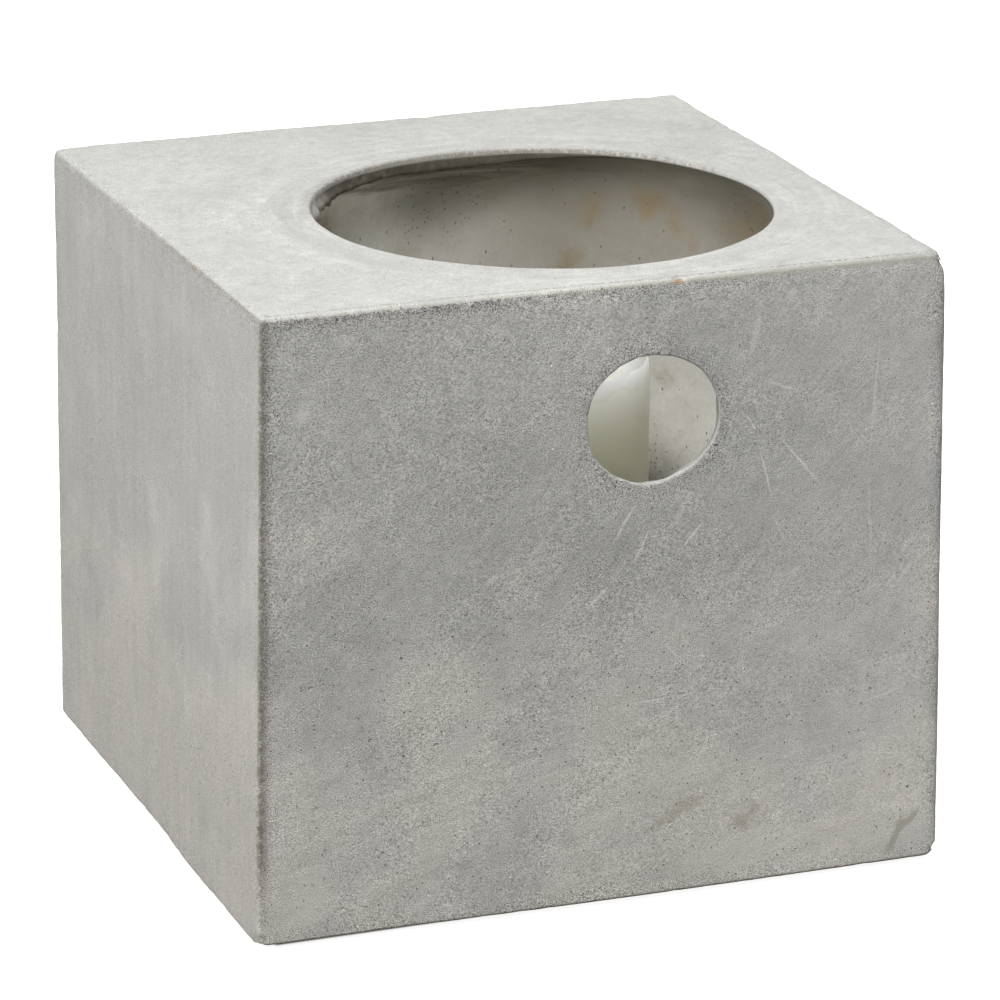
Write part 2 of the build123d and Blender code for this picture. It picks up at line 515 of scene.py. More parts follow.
PALE_SPOTS = rows_of(
    Mark,
    (80, 255, 5.6, 5.2, 0, 0.7), (11, 254, 4.6, 4.2, 0, 0.45), (-130, 225, 8, 6.4, 40, 0.6),
    (-111, 254, 8, 6, 20, 0.3), (-48, 253, 7, 4, 30, 0.3), (-130, 147, 4, 3, 0, 0.35),
    (55, 14, 40, 22, 10, 0.35), (-128, 20, 16, 26, -20, 0.4),
)
SMUDGES = rows_of(
    Mark,
    (32, 38, 40, 8, 24, 0.6), (62, 31, 18, 9, 35, 0.6), (131, 16, 26, 7, 62, 0.9), (25, 101, 9, 3, 15, 0.4),
    (-12, 30, 20, 6, 15, 0.5), (-75, 40, 30, 8, 20, 0.25), (20, 20, 26, 7, 18, 0.35),
    (141, 30, 20, 2.5, 68, 0.4),
)
DARK_PATCHES = rows_of(
    Mark,
    (-91, 80, 34, 34, 0, 0.55), (-8, 150, 50, 34, 30, 0.35), (-40, 222, 9, 3, -10, 0.5),
    (20, 12, 30, 12, 5, 0.45), (100, 32, 34, 12, 20, 0.35), (96, 16, 40, 12, 5, 0.3),
    (-50, 123, 15, 0.9, 12, 0.7), (-60, 190, 60, 30, 30, 0.25), (90, 215, 40, 50, 0, 0.2),
)


def in_well(degrees, depth):
    """A place on the well's wall."""
    turn = math.radians(degrees)
    radius = float(well_radius(TOP - depth, turn))
    return np.array([AXIS[0] + radius * math.cos(turn), AXIS[1] + radius * math.sin(turn), TOP - depth])


RUST_STAINS = rows_of(
    WallMark,
    (44, 25, 10, 0.95), (39, 33, 8, 0.8), (35, 37, 6, 0.6), (47, 21, 9, 0.5), (60, 33, 9, 0.8),
    (57, 28, 8, 0.6), (63, 57, 10, 0.7), (34, 43, 4.2, 0.6), (20, 31, 18, 0.6), (14, 20, 10, 0.6),
    (124, 28, 14, 0.6), (100, 50, 10, 0.4), (41, 105, 9, 0.5), (80, 26, 14, 0.35), (200, 60, 14, 0.4),
    (290, 45, 12, 0.5), (330, 90, 16, 0.3),
)
# dark patches on the well's wall: the first three, low on the far wall behind the window, are painted shadow
# of the candle; the rest are grime
GRIME_AND_CANDLE_SHADOW = rows_of(
    WallMark,
    (48, 174, 40, 1), (47, 197, 38, 1), (58, 146, 52, 0.14), (125, 50, 30, 0.3), (92, 24, 26, 0.4),
    (15, 34, 30, 0.5), (146, 46, 22, 0.4), (230, 230, 50, 0.4), (120, 235, 40, 0.4),
)


def on_front(points, marks):
    """The strongest of several elliptical marks on the front face, at every point."""
    value = np.zeros(len(points))
    for mark in marks:
        lean = math.radians(mark.lean)
        right, up = points[:, 0] - mark.x, points[:, 2] - mark.z
        along = (right * math.cos(lean) + up * math.sin(lean)) / (mark.length / 2)
        across = (up * math.cos(lean) - right * math.sin(lean)) / (mark.width / 2)
        value = np.maximum(value, mark.strength * smooth(1.3, 0.4, np.hypot(along, across)))
    return value


def on_wall(points, wall_marks):
    """The strongest of several round marks on the well's wall, at every point: stains, and painted shadow."""
    value = np.zeros(len(points))
    for wall_mark in wall_marks:
        away = np.linalg.norm(points - in_well(wall_mark.degrees, wall_mark.depth), axis=1)
        value = np.maximum(value, wall_mark.strength * smooth(wall_mark.radius * 1.3, wall_mark.radius * 0.2, away))
    return value


def painted_marks(points, front, inside):
    """Values of the stains, marks and painted shadow at every point, with ragged outlines."""
    ragged = points + np.column_stack([5.0 * fbm(points, 11, 3, 60 + k) for k in range(3)])
    return {
        "spots": on_front(0.8 * points + 0.2 * ragged, PALE_SPOTS) * front,
        "smudges": on_front(ragged, SMUDGES) * front,
        "shade": on_front(ragged, DARK_PATCHES) * front,
        "rust": on_wall(ragged, RUST_STAINS) * inside,
        "grime_and_shadow": on_wall(ragged, GRIME_AND_CANDLE_SHADOW) * inside,
    }


FAR = 60.0  # distance that counts as nowhere near an edge
FRONT_WALL_Y = -100  # only the front wall lies in front of this


def survey(points, faces, row_of, marks):
    """What the weathering and the material need to know about every point of the block."""
    x, y, z = points.T
    inside = (row_of >= marks["lip"]) | (row_of < -FIRST_INNER_RING)
    half = half_width(z)
    # distance to the nearest outer edge: the second smallest distance to the block's faces
    distances = np.sort(np.column_stack([half - np.abs(x), half - np.abs(y), TOP - z, z - FOOT]), axis=1)
    window_gap = np.hypot(x - WINDOW_X, z - WINDOW_Z) - WINDOW_RADIUS
    return SimpleNamespace(
        points=points,
        normals=vertex_normals(points, faces),
        angle=np.arctan2(y - AXIS[1], x - AXIS[0]),
        from_axis=np.hypot(x - AXIS[0], y - AXIS[1]),
        half=half,
        inside=inside,
        edge=np.where(inside, FAR, np.clip(distances[:, 1], 0, FAR)),
        window_gap=np.where((y < FRONT_WALL_Y) & ~inside, np.clip(window_gap, 0, FAR), FAR),
        lip=np.where((row_of >= marks["lip"]) & (row_of <= marks["well"] + 1), 1.0, 0.0),
        upright_lip=(row_of >= marks["lip"]) & (row_of < marks["well"] - 1),
        rounder=smooth(-70, 140, x) * smooth(90, -130, y) * smooth(TOP - 14, TOP - 3, z),
    )


def weathering(block):
    """Slow unevenness everywhere, and worn edges outside, most at the front right of the top."""
    points, inside = block.points, block.inside
    push = np.where(inside, 0.45 * fbm(points, 75, 2, 1), 0.34 * fbm(points, 95, 2, 2))
    push += 0.1 * fbm(points, 20, 3, 3)
    push -= block.rounder * 1.2 * smooth(6.0, 0.4, block.edge)
    worn = np.exp(-block.edge / 1.7)
    push -= worn * (0.05 + 0.45 * np.clip(fbm(points, 8, 3, 4) + 0.1, 0, 1) + 0.12 * fbm(points, 2.5, 2, 5))
    rough = np.exp(-block.window_gap / 1.2) * ~inside
    push -= rough * 0.35 * np.clip(fbm(points, 5, 3, 6) + 0.2, 0, 1)
    return push


def casting_marks(block):
    """What stands out under the rim: the casting core's seam, a ledge of flash, and one lump."""
    points, angle, z = block.points, block.angle, block.points[:, 2]
    seam = block.lip * lip_strength(angle) * smooth(TOP - RIM, TOP - 4, z)
    ledge = bell(angle, 146, 24) * smooth(TOP - 4, LIP_FOOT, z) * block.upright_lip
    lump = np.exp(-(((np.degrees(angle) - 33) / 3.0) ** 2) - ((z - (TOP - 14.0)) / 2.4) ** 2) * block.inside
    return (
        seam * (1.2 * fbm(points, 9, 3, 7) + 0.6 * fbm(points, 26, 2, 8)),
        ledge * (2.6 + 2.4 * fbm(points, 7, 3, 71)),
        2.2 * lump,
    )


def push_out_of_square(moved, block):
    """The right and back sides stand straighter, and the foot of the front left corner is out of square."""
    x, y, z = block.points.T
    climb = STRAIGHTER * (z - FOOT) / (TOP - FOOT) * ~block.inside
    moved[:, 0] += climb * smooth(118, 146, x)
    moved[:, 1] += climb * smooth(118, 146, y)
    low = (TOP - z) / (TOP - FOOT) * ~block.inside
    moved[:, 0] -= SPLAY * low * smooth(0, -70, y) * smooth(-100, -140, x)
    moved[:, 1] += SET_BACK * low * smooth(40, -140, x) * smooth(-100, -140, y)


def cut_chips(moved, block):
    """Take the chips off, each with a ragged outline."""
    for chip in edge_chips():
        gap = np.linalg.norm(block.points - np.array([chip.x, chip.y, chip.z]), axis=1)
        near = np.nonzero(gap < chip.size * 1.6)[0]
        if len(near):
            ragged = 1 + 0.35 * fbm(block.points[near], chip.size, 2, 9)
            loss = chip.depth * smooth(chip.size * 1.4, chip.size * 0.4, gap[near] * ragged)
            moved[near] -= block.normals[near] * loss[:, None]


def dark_arris(block):
    """Where the front left upright edge and the left upper edge are rubbed dark."""
    x, y, z = block.points.T
    from_left, from_front, from_top = block.half + x, block.half + y, TOP - z
    upright = smooth(5.5, 1.0, from_left) * smooth(2.0, 0.4, from_front) * smooth(FOOT + 4, FOOT + 46, z)
    upper = smooth(1.8, 0.3, from_left) * smooth(2.6, 0.4, from_top) * smooth(120, -60, y)
    return np.maximum(upright, 0.8 * upper)


def trowel_track(block):
    """A trowel went round the left of the opening and left a pale ridge with a duller track inside it."""
    out = block.from_axis - OPENING_RADIUS + 3.0 * fbm(block.points, 34, 2, 70)
    track = smooth(4, 9, out) * smooth(22, 16, out) - 1.1 * smooth(16, 21, out) * smooth(30, 23, out)
    return 0.42 * track * bell(block.angle, 178, 62)


def block_values(block):
    """Values that the cement's material reads at every point."""
    x, y, z = block.points.T
    angle, inside = block.angle, block.inside
    front = smooth(-0.75, -0.97, block.normals[:, 1]) * ~inside
    top = smooth(0.75, 0.97, block.normals[:, 2]) * ~inside
    side = smooth(0.75, 0.97, np.abs(block.normals[:, 0])) * ~inside
    # painted light and shade round the well: how far the wall is darkened at each angle, least at the front
    # and at the back left, where the wall is even lightened because the lamps leave it too dark
    well_shading = 1.0 - 1.18 * bell(angle, 142, 50) - 0.35 * bell(angle, 104, 38) - 0.95 * bell(angle, -90, 110)
    values = painted_marks(block.points, front, inside)
    values["shade"] += trowel_track(block) * top
    return values | {
        "edge": block.edge,
        "window": block.window_gap,
        "inside": smooth(TOP - 0.5, TOP - RIM - 1, z) * inside,
        "lip": block.lip * smooth(TOP - 1.0, TOP - RIM, z),
        "rounder": block.rounder,
        "well_shading": well_shading,
        # how strong the brown band under the lip is round the opening: a stain, with painted shade
        "lip_band_strength": 0.75 + 0.25 * bell(angle, 98, 60) - 0.35 * bell(angle, 165, 30),
        "crest": smooth(-140, -146, y) * smooth(-149, -120, x) * (0.55 + 0.45 * smooth(-60, 40, x)),
        "arris": dark_arris(block),
        "front": front,
        "top": top,
        "side": side,
    }


def build_block(material):
    """The cement casting, with its well, opening and window."""
    points, faces, row_of, marks = block_mesh()
    block = survey(points, faces, row_of, marks)
    push = weathering(block)
    for mark in casting_marks(block):
        push += mark
    moved = points + block.normals * push[:, None]
    push_out_of_square(moved, block)
    cut_chips(moved, block)
    moved[:, 2] = np.maximum(moved[:, 2], FOOT)  # nothing may pass below the foot
    piece = make_piece("cement_casting", moved, faces, material, block_values(block))
    hand_over(piece, "cement_body", "housing")


# ================ the floor, the pads and the candle
def build_floor(material):
    """The disc that closes the well: screeded by hand, so slightly uneven on both faces."""
    angles = np.linspace(0, 2 * math.pi, 180, endpoint=False)
    outer, edge, corner = FLOOR_RADIUS - 0.1, 1.0, 0.3
    face_radii = np.linspace(4, outer - edge, 26)
    profile = [(r, floor_low.z) for r in face_radii]
    profile += [(outer - corner, floor_low.z + corner), (outer, floor_low.z + edge)]
    profile += [(outer, floor_high.z - edge), (outer - corner, floor_high.z - corner)]
    profile += [(r, floor_high.z) for r in face_radii[::-1]]
    points, faces = turned(profile, angles, AXIS)
    radius = np.hypot(points[:, 0] - AXIS[0], points[:, 1] - AXIS[1])
    waves = 0.5 + 0.5 * fbm(points, 26, 3, 20)
    dip = np.clip(waves, 0, 1) * 0.7 * smooth(outer, outer - 4, radius)
    upper = points[:, 2] > (floor_low.z + floor_high.z) / 2
    points[:, 2] += np.where(upper, -dip, dip)
    piece = make_piece("floor_slab", points, faces, material)
    hand_over(piece, "floor_disc", "housing")


PAD_RADIUS = 14.0


def pad_profile(low, high):
    """Half section of a felt pad, from the middle of its underside to the middle of its top."""
    profile = [(r, low) for r in np.linspace(2, PAD_RADIUS - 0.7, 7)]
    profile += [(PAD_RADIUS - 0.25, low + 0.25), (PAD_RADIUS + 0.05, (low + high) / 2)]
    profile += [(PAD_RADIUS - 0.2, high - 0.25)]
    return profile + [(r, high - 0.02) for r in np.linspace(PAD_RADIUS - 0.6, 2, 7)]


def build_pads(material):
    """Four felt discs with soft cut edges, pressed a little flat where the block stands on them."""
    low, high = box_mm("felt_pads")
    reach = high.x - PAD_RADIUS
    angles = np.linspace(0, 2 * math.pi, 72, endpoint=False)
    all_points, all_faces = [], []
    for number, corner in enumerate(CORNERS):
        centre = np.array(corner) * reach
        points, faces = turned(pad_profile(low.z, high.z), angles, centre)
        away = np.hypot(points[:, 0] - centre[0], points[:, 1] - centre[1])
        fuzz = 0.35 * fbm(points, 1.6, 3, 30 + number) * smooth(PAD_RADIUS - 2, PAD_RADIUS, away)
        outward = (points[:, :2] - centre) / np.maximum(away, 0.1)[:, None]
        points[:, :2] += outward * fuzz[:, None]
        all_faces += [tuple(v + number * len(points) for v in face) for face in faces]
        all_points.append(points)
    piece = make_piece("felt_feet", np.vstack(all_points), all_faces, material)
    hand_over(piece, "felt_pads", "housing")


candle_low, candle_high = box_mm("candle_wax")
wick_low, wick_high = box_mm("candle_wick")
CANDLE_RADIUS = (candle_high.x - candle_low.x) / 2
CANDLE_FOOT_EDGE = 2.0
THIN_RIM = CANDLE_RADIUS - 1.0  # radius of the melted rim's crest
DISH_Z = wick_high.z - 11.0  # lowest point of the melted hollow
LUMP = -26  # direction of a thick drip on the rim, in degrees


def rim_height(angles):
    """Height of the melted rim: nearly level, with nicks and one thick drip."""
    ring = level(on_circle(np.zeros(2), 30.0, angles), 0.0)
    height = candle_high.z - 1.3 + 0.8 * fbm(ring, 13, 2, 40) + 1.1 * fbm(ring, 3.5, 3, 41)
    height += 1.6 * np.exp(-(((np.degrees(angles) - LUMP + 180) % 360 - 180) / 6) ** 2)
    return np.minimum(height, candle_high.z + 0.4)


def candle_profile(rim, lowest):
    """Half section: soft cast foot, side, thin melted rim, and the bowl down to the pool round the wick."""
    foot, edge = candle_low.z, CANDLE_FOOT_EDGE
    profile = [(r, foot) for r in (11.0, 20.0, 30.0, 40.0, CANDLE_RADIUS - edge - 0.2)]
    for turn in (0.4, 0.8, 1.2):
        profile.append((CANDLE_RADIUS - edge + edge * math.sin(turn), foot + edge - edge * math.cos(turn)))
    profile += [(CANDLE_RADIUS, z) for z in np.linspace(foot + edge, lowest, 36)]
    for t in (0.25, 0.5, 0.7, 0.84, 0.93):
        profile.append((CANDLE_RADIUS - 0.25 * t, lowest + (rim - lowest) * t))
    bowl_radius, bowl_rim, bowl_floor = THIN_RIM - 0.7, rim - 0.35, DISH_Z + 0.3
    profile += [(CANDLE_RADIUS - 0.5, rim - 0.45), (THIN_RIM, rim), (bowl_radius, bowl_rim)]
    for t in np.linspace(0.06, 1.0, 26):
        sink = 1 - (1 - min(t / 0.45, 1.0)) ** 2.2
        drop = bowl_floor + 2.5 * (1 - t) - rim + 0.35
        profile.append((bowl_radius * (1 - t) + 3.0 * t, bowl_rim + drop * sink))
    return profile


def build_candle(material):
    """Pillar candle: faintly uneven side, and a thin melted rim round a dished pool of wax."""
    angles = np.linspace(0, 2 * math.pi, 300, endpoint=False)
    rim = rim_height(angles)
    rim_low = rim.min()
    lowest = rim_low - 12
    points, faces = turned(candle_profile(rim, lowest), angles, AXIS)
    away = points[:, :2] - AXIS
    from_axis = np.hypot(away[:, 0], away[:, 1])
    on_side = smooth(CANDLE_RADIUS - 1.4, CANDLE_RADIUS - 0.3, from_axis)
    near_rim = smooth(rim_low - 10, rim_low + 2, points[:, 2])
    push = on_side * (0.18 * fbm(points, 40, 2, 42) - 0.15)
    push += near_rim * (0.45 * fbm(points, 9, 3, 43) - 0.2) * on_side
    points[:, :2] += away / np.maximum(from_axis, 1)[:, None] * push[:, None]
    in_bowl = (from_axis < THIN_RIM - 1) & (points[:, 2] > lowest)
    points[:, 2] += np.where(in_bowl, 0.5 * fbm(points, 11, 3, 44), 0)
    melt = smooth(rim_low - 6.5, rim_low - 4.5, points[:, 2] + 2.2 * fbm(points, 9, 3, 45))
    piece = make_piece("pillar_candle", points, faces, material, {"melt": melt})
    hand_over(piece, "candle_wax", "candle")


def tube(path, radius, sides):
    """A closed tube along a path, with rings square to it."""
    points = []
    for k, centre in enumerate(path):
        ahead = path[min(k + 1, len(path) - 1)] - path[max(k - 1, 0)]
        ahead = ahead / np.linalg.norm(ahead)
        side = np.cross(ahead, (0.0, 1.0, 0.0))
        side = side / np.linalg.norm(side)
        other = np.cross(ahead, side)
        for turn in np.linspace(0, 2 * math.pi, sides, endpoint=False):
            points.append(centre + radius[k] * (side * math.cos(turn) + other * math.sin(turn)))
    faces = ring_faces(len(path), sides)
    faces.append(tuple(range(sides))[::-1])
    faces.append(tuple(range(len(points) - sides, len(points))))
    return np.array(points), faces


PLAIT_PITCH = 7.0
PLAIT_SPREAD = 0.62
STRANDS = 3


def strand_path(number, heights):
    """Middle line of one strand, which bends over at its burnt end."""
    lean = np.clip((heights - DISH_Z - 3) / 9, 0, 1) ** 2
    phase = 2 * math.pi * (heights / PLAIT_PITCH + number / STRANDS)
    return np.column_stack([
        AXIS[0] + PLAIT_SPREAD * np.cos(phase) + 2.0 * lean,
        AXIS[1] + PLAIT_SPREAD * np.sin(phase) - 1.2 * lean,
        heights,
    ])


def build_wick(material):
    """Cotton strands plaited together, burnt and bent over at the top."""
    heights = np.linspace(wick_low.z + 0.3, wick_high.z - 0.6, 420)
    points, faces = [], []
    for number in range(STRANDS):
        path = strand_path(number, heights)
        radius = 0.78 + 0.1 * fbm(path, 1.3, 2, 50 + number)
        radius *= 1 - 0.35 * np.clip((heights - wick_high.z + 4) / 4, 0, 1)
        strand_points, strand_faces = tube(path, radius, 10)
        offset = number * len(strand_points)
        faces += [tuple(v + offset for v in face) for face in strand_faces]
        points.append(strand_points)
    points = np.vstack(points)
    burnt = smooth(DISH_Z + 1.5, DISH_Z + 5, points[:, 2])
    piece = make_piece("cotton_wick", points, faces, material, {"burnt": burnt})
    hand_over(piece, "candle_wick", "candle")


# ================ helpers for materials
class Wiring:
    """Builds up a node tree. A value is a number, a tuple or another node's output."""

    def __init__(self, tree):
        self.tree = tree

    def add(self, kind, **settings):
        node = self.tree.nodes.new("ShaderNode" + kind)
        for key, value in settings.items():
            setattr(node, key, value)
        return node

    def put(self, socket, value):
        if isinstance(value, bpy.types.NodeSocket):
            self.tree.links.new(value, socket)
        else:
            socket.default_value = value

    def fill(self, node, values, out=0):
        """Fill a node's inputs, given by name or number, and return one of its outputs."""
        for key, value in values.items():
            self.put(node.inputs[key], value)
        return node.outputs[out]


class Shader(Wiring):
    """Wires a node material. Sizes are millimetres.

    The order in which nodes are made is part of the look: Cycles gives up on a material, and draws it black,
    when too many values wait at once.
    """

    def __init__(self, name):
        self.material = bpy.data.materials.new(name)
        self.material.use_nodes = True
        super().__init__(self.material.node_tree)
        self.tree.nodes.clear()
        scale = self.add("VectorMath", operation="SCALE")
        place = self.add("TexCoord").outputs["Object"]
        self.place = self.fill(scale, {0: place, "Scale": 1 / MM})

    def math(self, operation, a, b):
        return self.fill(self.add("Math", operation=operation), {0: a, 1: b})

    def chain(self, operation, values):
        total = values[0]
        for value in values[1:]:
            total = self.math(operation, total, value)
        return total

    def sum(self, *values):
        return self.chain("ADD", values)

    def times(self, *values):
        return self.chain("MULTIPLY", values)

    def most(self, *values):
        return self.chain("MAXIMUM", values)

    def swing(self, texture):
        """A texture's value about its middle: -0.5 to 0.5."""
        return self.sum(texture, -0.5)

    def step(self, value, low, high, to_low=0.0, to_high=1.0):
        """Smooth change from to_low to to_high as value goes from low to high."""
        node = self.add("MapRange", interpolation_type="SMOOTHSTEP")
        return self.fill(node, dict(enumerate((value, low, high, to_low, to_high))))

    def fade(self, value, at_zero, at_one):
        """Smooth change over a value that runs from 0 to 1."""
        return self.step(value, 0.0, 1.0, at_zero, at_one)

    def attribute(self, name):
        return self.add("Attribute", attribute_name=name).outputs["Fac"]

    def axes(self):
        """The place's x, y and z."""
        split = self.add("SeparateXYZ")
        self.put(split.inputs[0], self.place)
        return split.outputs

    def stretch(self, x=1.0, y=1.0, z=1.0, shift=(0.0, 0.0, 0.0)):
        """The place, squeezed along each axis so that features grow by the inverse."""
        node = self.add("VectorMath", operation="MULTIPLY_ADD")
        return self.fill(node, {0: self.place, 1: (x, y, z), 2: shift})

    def slanted(self, lean, along):
        """The place in streaks that rise to the right at an angle, squeezed along their length."""
        lay = self.add("Mapping", vector_type="POINT")
        place = self.fill(lay, {"Vector": self.place, "Rotation": (0.0, math.radians(lean), 0.0)})
        squeeze = self.add("VectorMath", operation="MULTIPLY")
        return self.fill(squeeze, {0: place, 1: (along, 1.0, 1.0)})

    def noise(self, size, detail=2.0, roughness=0.5, distortion=0.0, at=None, colour=False):
        values = {"Vector": at or self.place, "Scale": 1 / size, "Detail": detail, "Roughness": roughness,
                  "Distortion": distortion}
        return self.fill(self.add("TexNoise"), values, "Color" if colour else 0)

    def dots(self, spacing, radius, chance, at=None):
        """Round dots of a radius, in a share of the cells of a scatter."""
        cells = self.add("TexVoronoi")
        self.fill(cells, {"Vector": at or self.place, "Scale": 1 / spacing})
        size = radius / spacing
        dot = self.step(cells.outputs["Distance"], size * 1.25, size * 0.6)
        pick = self.fill(self.add("SeparateColor"), {0: cells.outputs["Color"]})
        return self.times(dot, self.math("LESS_THAN", pick, chance))

    def warped(self, amount, size):
        """The place, pushed about by noise, for ragged outlines."""
        centred = self.add("VectorMath", operation="SUBTRACT")
        push = self.fill(centred, {0: self.noise(size, 3, colour=True), 1: (0.5, 0.5, 0.5)})
        node = self.add("VectorMath", operation="MULTIPLY_ADD")
        return self.fill(node, {0: push, 1: (amount, amount, amount), 2: self.place})

    def from_axis(self):
        """Distance from the well's axis."""
        length = self.add("VectorMath", operation="LENGTH")
        return self.fill(length, {0: self.stretch(z=0.0, shift=(-AXIS[0], -AXIS[1], 0.0))}, "Value")

    def round_axis(self, along):
        """The place in rings about the well's axis, squeezed along each ring."""
        split = self.add("SeparateXYZ")
        self.put(split.inputs[0], self.stretch(shift=(-AXIS[0], -AXIS[1], 0.0)))
        turn = self.math("ARCTAN2", split.outputs[1], split.outputs[0])
        place = self.add("CombineXYZ")
        values = {0: self.from_axis(), 1: self.times(turn, OPENING_RADIUS * along), 2: split.outputs[2]}
        return self.fill(place, values)

    def mark(self, at, centre, radii, turn=(0.0, 0.0, 0.0), soft=0.35):
        """1 inside an ellipsoid that fades out at its surface."""
        values = {"Vector": at, "Location": centre, "Rotation": turn, "Scale": radii}
        inside = self.fill(self.add("Mapping", vector_type="TEXTURE"), values)
        length = self.fill(self.add("VectorMath", operation="LENGTH"), {0: inside}, "Value")
        return self.step(length, 1.0, soft)

    def mix(self, factor, a, b):
        """Colour a, covered by colour b as far as the factor says."""
        a, b = ((*c, 1.0) if isinstance(c, tuple) else c for c in (a, b))
        return self.fill(self.add("Mix", data_type="RGBA"), {0: factor, 6: a, 7: b}, 2)

    def scale_colour(self, colour, factor):
        return self.fill(self.add("VectorMath", operation="SCALE"), {0: colour, "Scale": factor})

    def finish(self, colour, roughness, height, **extra):
        """Principled surface; height is in millimetres."""
        surface = self.add("BsdfPrincipled")
        values = {"Base Color": colour, "Roughness": roughness}
        values |= {key.replace("_", " "): value for key, value in extra.items()}
        self.fill(surface, values)
        bump = self.fill(self.add("Bump"), {"Strength": 1.0, "Distance": MM, "Height": height})
        self.put(surface.inputs["Normal"], bump)
        self.put(self.add("OutputMaterial").inputs["Surface"], surface.outputs[0])
        return self.material


# ================ cement
FRONT_Y = -HALF_WIDTH + DRAFT / 2
FACE_DEPTH = 6.0  # how deep a mark on a face reaches, so that the leaning face stays inside it

COOL = (0.43, 0.424, 0.402)
WARM = (0.52, 0.5, 0.46)
LIT_TOP = (0.53, 0.53, 0.505)
CREAM = (0.475, 0.465, 0.405)
LIP_STAIN_AND_SHADE = (0.075, 0.066, 0.048)
OLIVE = (0.36, 0.345, 0.275)
SCRATCHED = (0.68, 0.67, 0.63)
SPOT = (0.6, 0.59, 0.545)
DARK_GRAIN = (0.15, 0.14, 0.12)
PORE = (0.1, 0.09, 0.08)
QUARTZ = (0.95, 0.94, 0.9)
RUBBED = (0.17, 0.152, 0.118)
RUSTY_GRAIN = (0.2, 0.14, 0.09)
EDGE_LINE = (0.22, 0.2, 0.16)
FOOT_SHADOW = (0.13, 0.115, 0.09)
CHIP_HEART = (0.33, 0.22, 0.12)
RIM_DIRT = (0.19, 0.17, 0.13)
WELL_PALE = (0.7, 0.688, 0.64)
WELL_BUG = (0.13, 0.11, 0.08)
WELL_TOP_DARK = (0.2, 0.182, 0.145)
GRIME_AND_SHADOW_DARK = (0.12, 0.108, 0.08)
WELL_GRAIN = (0.075, 0.06, 0.04)
RUST = (0.27, 0.205, 0.12)

SCRATCHES = rows_of(
    Mark,
    (62, 203, 16, 1.1, -52, 0.7), (69, 180, 28, 1.2, -74, 0.8), (76, 154, 22, 1, -66, 0.5),
    (85, 183, 36, 1.3, -50, 0.8), (54, 205, 12, 1.2, 68, 0.6), (7, 166, 26, 1.6, 57, 0.6),
    (32, 169, 22, 3, 60, 0.4), (64, 242, 38, 3.4, 79, 0.35), (75, 217, 20, 1.4, -20, 0.5),
    (117, 207, 66, 1.8, 86, 0.4), (116, 152, 60, 1.8, 92, 0.3), (20, 88, 50, 1.2, 3, 0.45),
    (120, 92, 30, 1.4, 12, 0.4), (-98, 82, 40, 1.2, -72, 0.35), (-20, 132, 30, 1.3, 40, 0.3),
    (14, 155, 20, 1.2, 62, 0.6), (36, 157, 20, 1.4, 48, 0.6), (8, 118, 10, 1.3, 66, 0.5),
    (28, 108, 16, 1.4, -52, 0.5), (34, 112, 14, 1.3, -58, 0.45), (-4, 136, 14, 2, 40, 0.5),
    (125, 78, 26, 1.9, 16, 0.55), (-50, 148, 9, 4, 40, 0.4), (3, 130, 18, 1.4, 80, 0.45),
    (-30, 160, 34, 1.6, 52, 0.3), (-60, 120, 26, 1.2, 48, 0.3), (96, 60, 36, 1.4, -58, 0.3),
)


def scratch_marks(shader, at):
    """The strongest of the thin scratches on the front face."""
    found = 0.0
    for mark in SCRATCHES:
        # each mark waits for the one before it, which keeps few values alive at once
        follow = shader.fill(shader.add("VectorMath", operation="MULTIPLY_ADD"),
                             {0: found if found else (0.0, 0.0, 0.0), 1: (0.0, 0.0, 0.0), 2: at})
        centre = (mark.x, FRONT_Y, mark.z)
        radii = (mark.length / 2, FACE_DEPTH, mark.width * 0.6)
        line = shader.mark(follow, centre, radii, (0.0, -math.radians(mark.lean), 0.0))
        found = shader.math("MAXIMUM", found, shader.times(line, mark.strength))
    return found


def cement_values(s):
    """What the cement's layers share: the mesh's values, the place, and noises from coarse to fine."""
    names = ("edge", "window", "inside", "lip", "rounder", "front", "top", "side")
    v = SimpleNamespace(**{name: s.attribute(name) for name in names})
    v.x, v.y, v.z = s.axes()
    v.clouds = s.noise(62, 4, 0.55, 0.4)
    v.blotches = s.noise(17, 4, 0.6, 0.8)
    v.mottle = s.noise(5.5, 4, 0.62, 0.6)
    v.sand = s.noise(0.62, 1, 0.7)
    v.coarse_sand = s.noise(1.9, 3, 0.7)
    v.warmth = s.noise(46, 3, 0.5, at=s.stretch(shift=(310.0, 40.0, 90.0)))
    v.streaks = s.noise(9, 3, 0.55, 0.3, at=s.stretch(z=0.1))
    # brush strokes: steep in the upper part, nearly level in the lower
    steep = s.noise(2.6, 4, 0.6, 0.4, at=s.slanted(48, 0.13))
    level_strokes = s.noise(3.2, 4, 0.6, 0.4, at=s.slanted(13, 0.1))
    v.sweeps = s.mix(s.step(v.z, 125.0, 75.0), steep, level_strokes)
    return v


def sandiness(s, v):
    """How sandy the skin is: bare grit along the edges, round the window and in patches."""
    patches = s.step(v.blotches, 0.44, 0.6)
    near_edge = s.step(s.sum(v.edge, s.times(v.mottle, 14.0)), 18.0, 8.0)
    near_window = s.step(s.sum(v.window, s.times(v.mottle, 14.0)), 20.0, 8.0)
    bare = s.sum(s.times(patches, 0.18), s.times(near_edge, 0.42), s.times(near_window, 0.34), 0.5)
    sandy = s.math("MINIMUM", bare, 1.0)
    skin = s.sum(s.times(v.front, 0.8), s.times(v.top, 0.28), s.times(v.side, 0.32), 0.25)
    return s.times(sandy, s.math("MINIMUM", skin, 1.0), s.step(v.x, 20.0, 120.0, 0.9, 0.68))


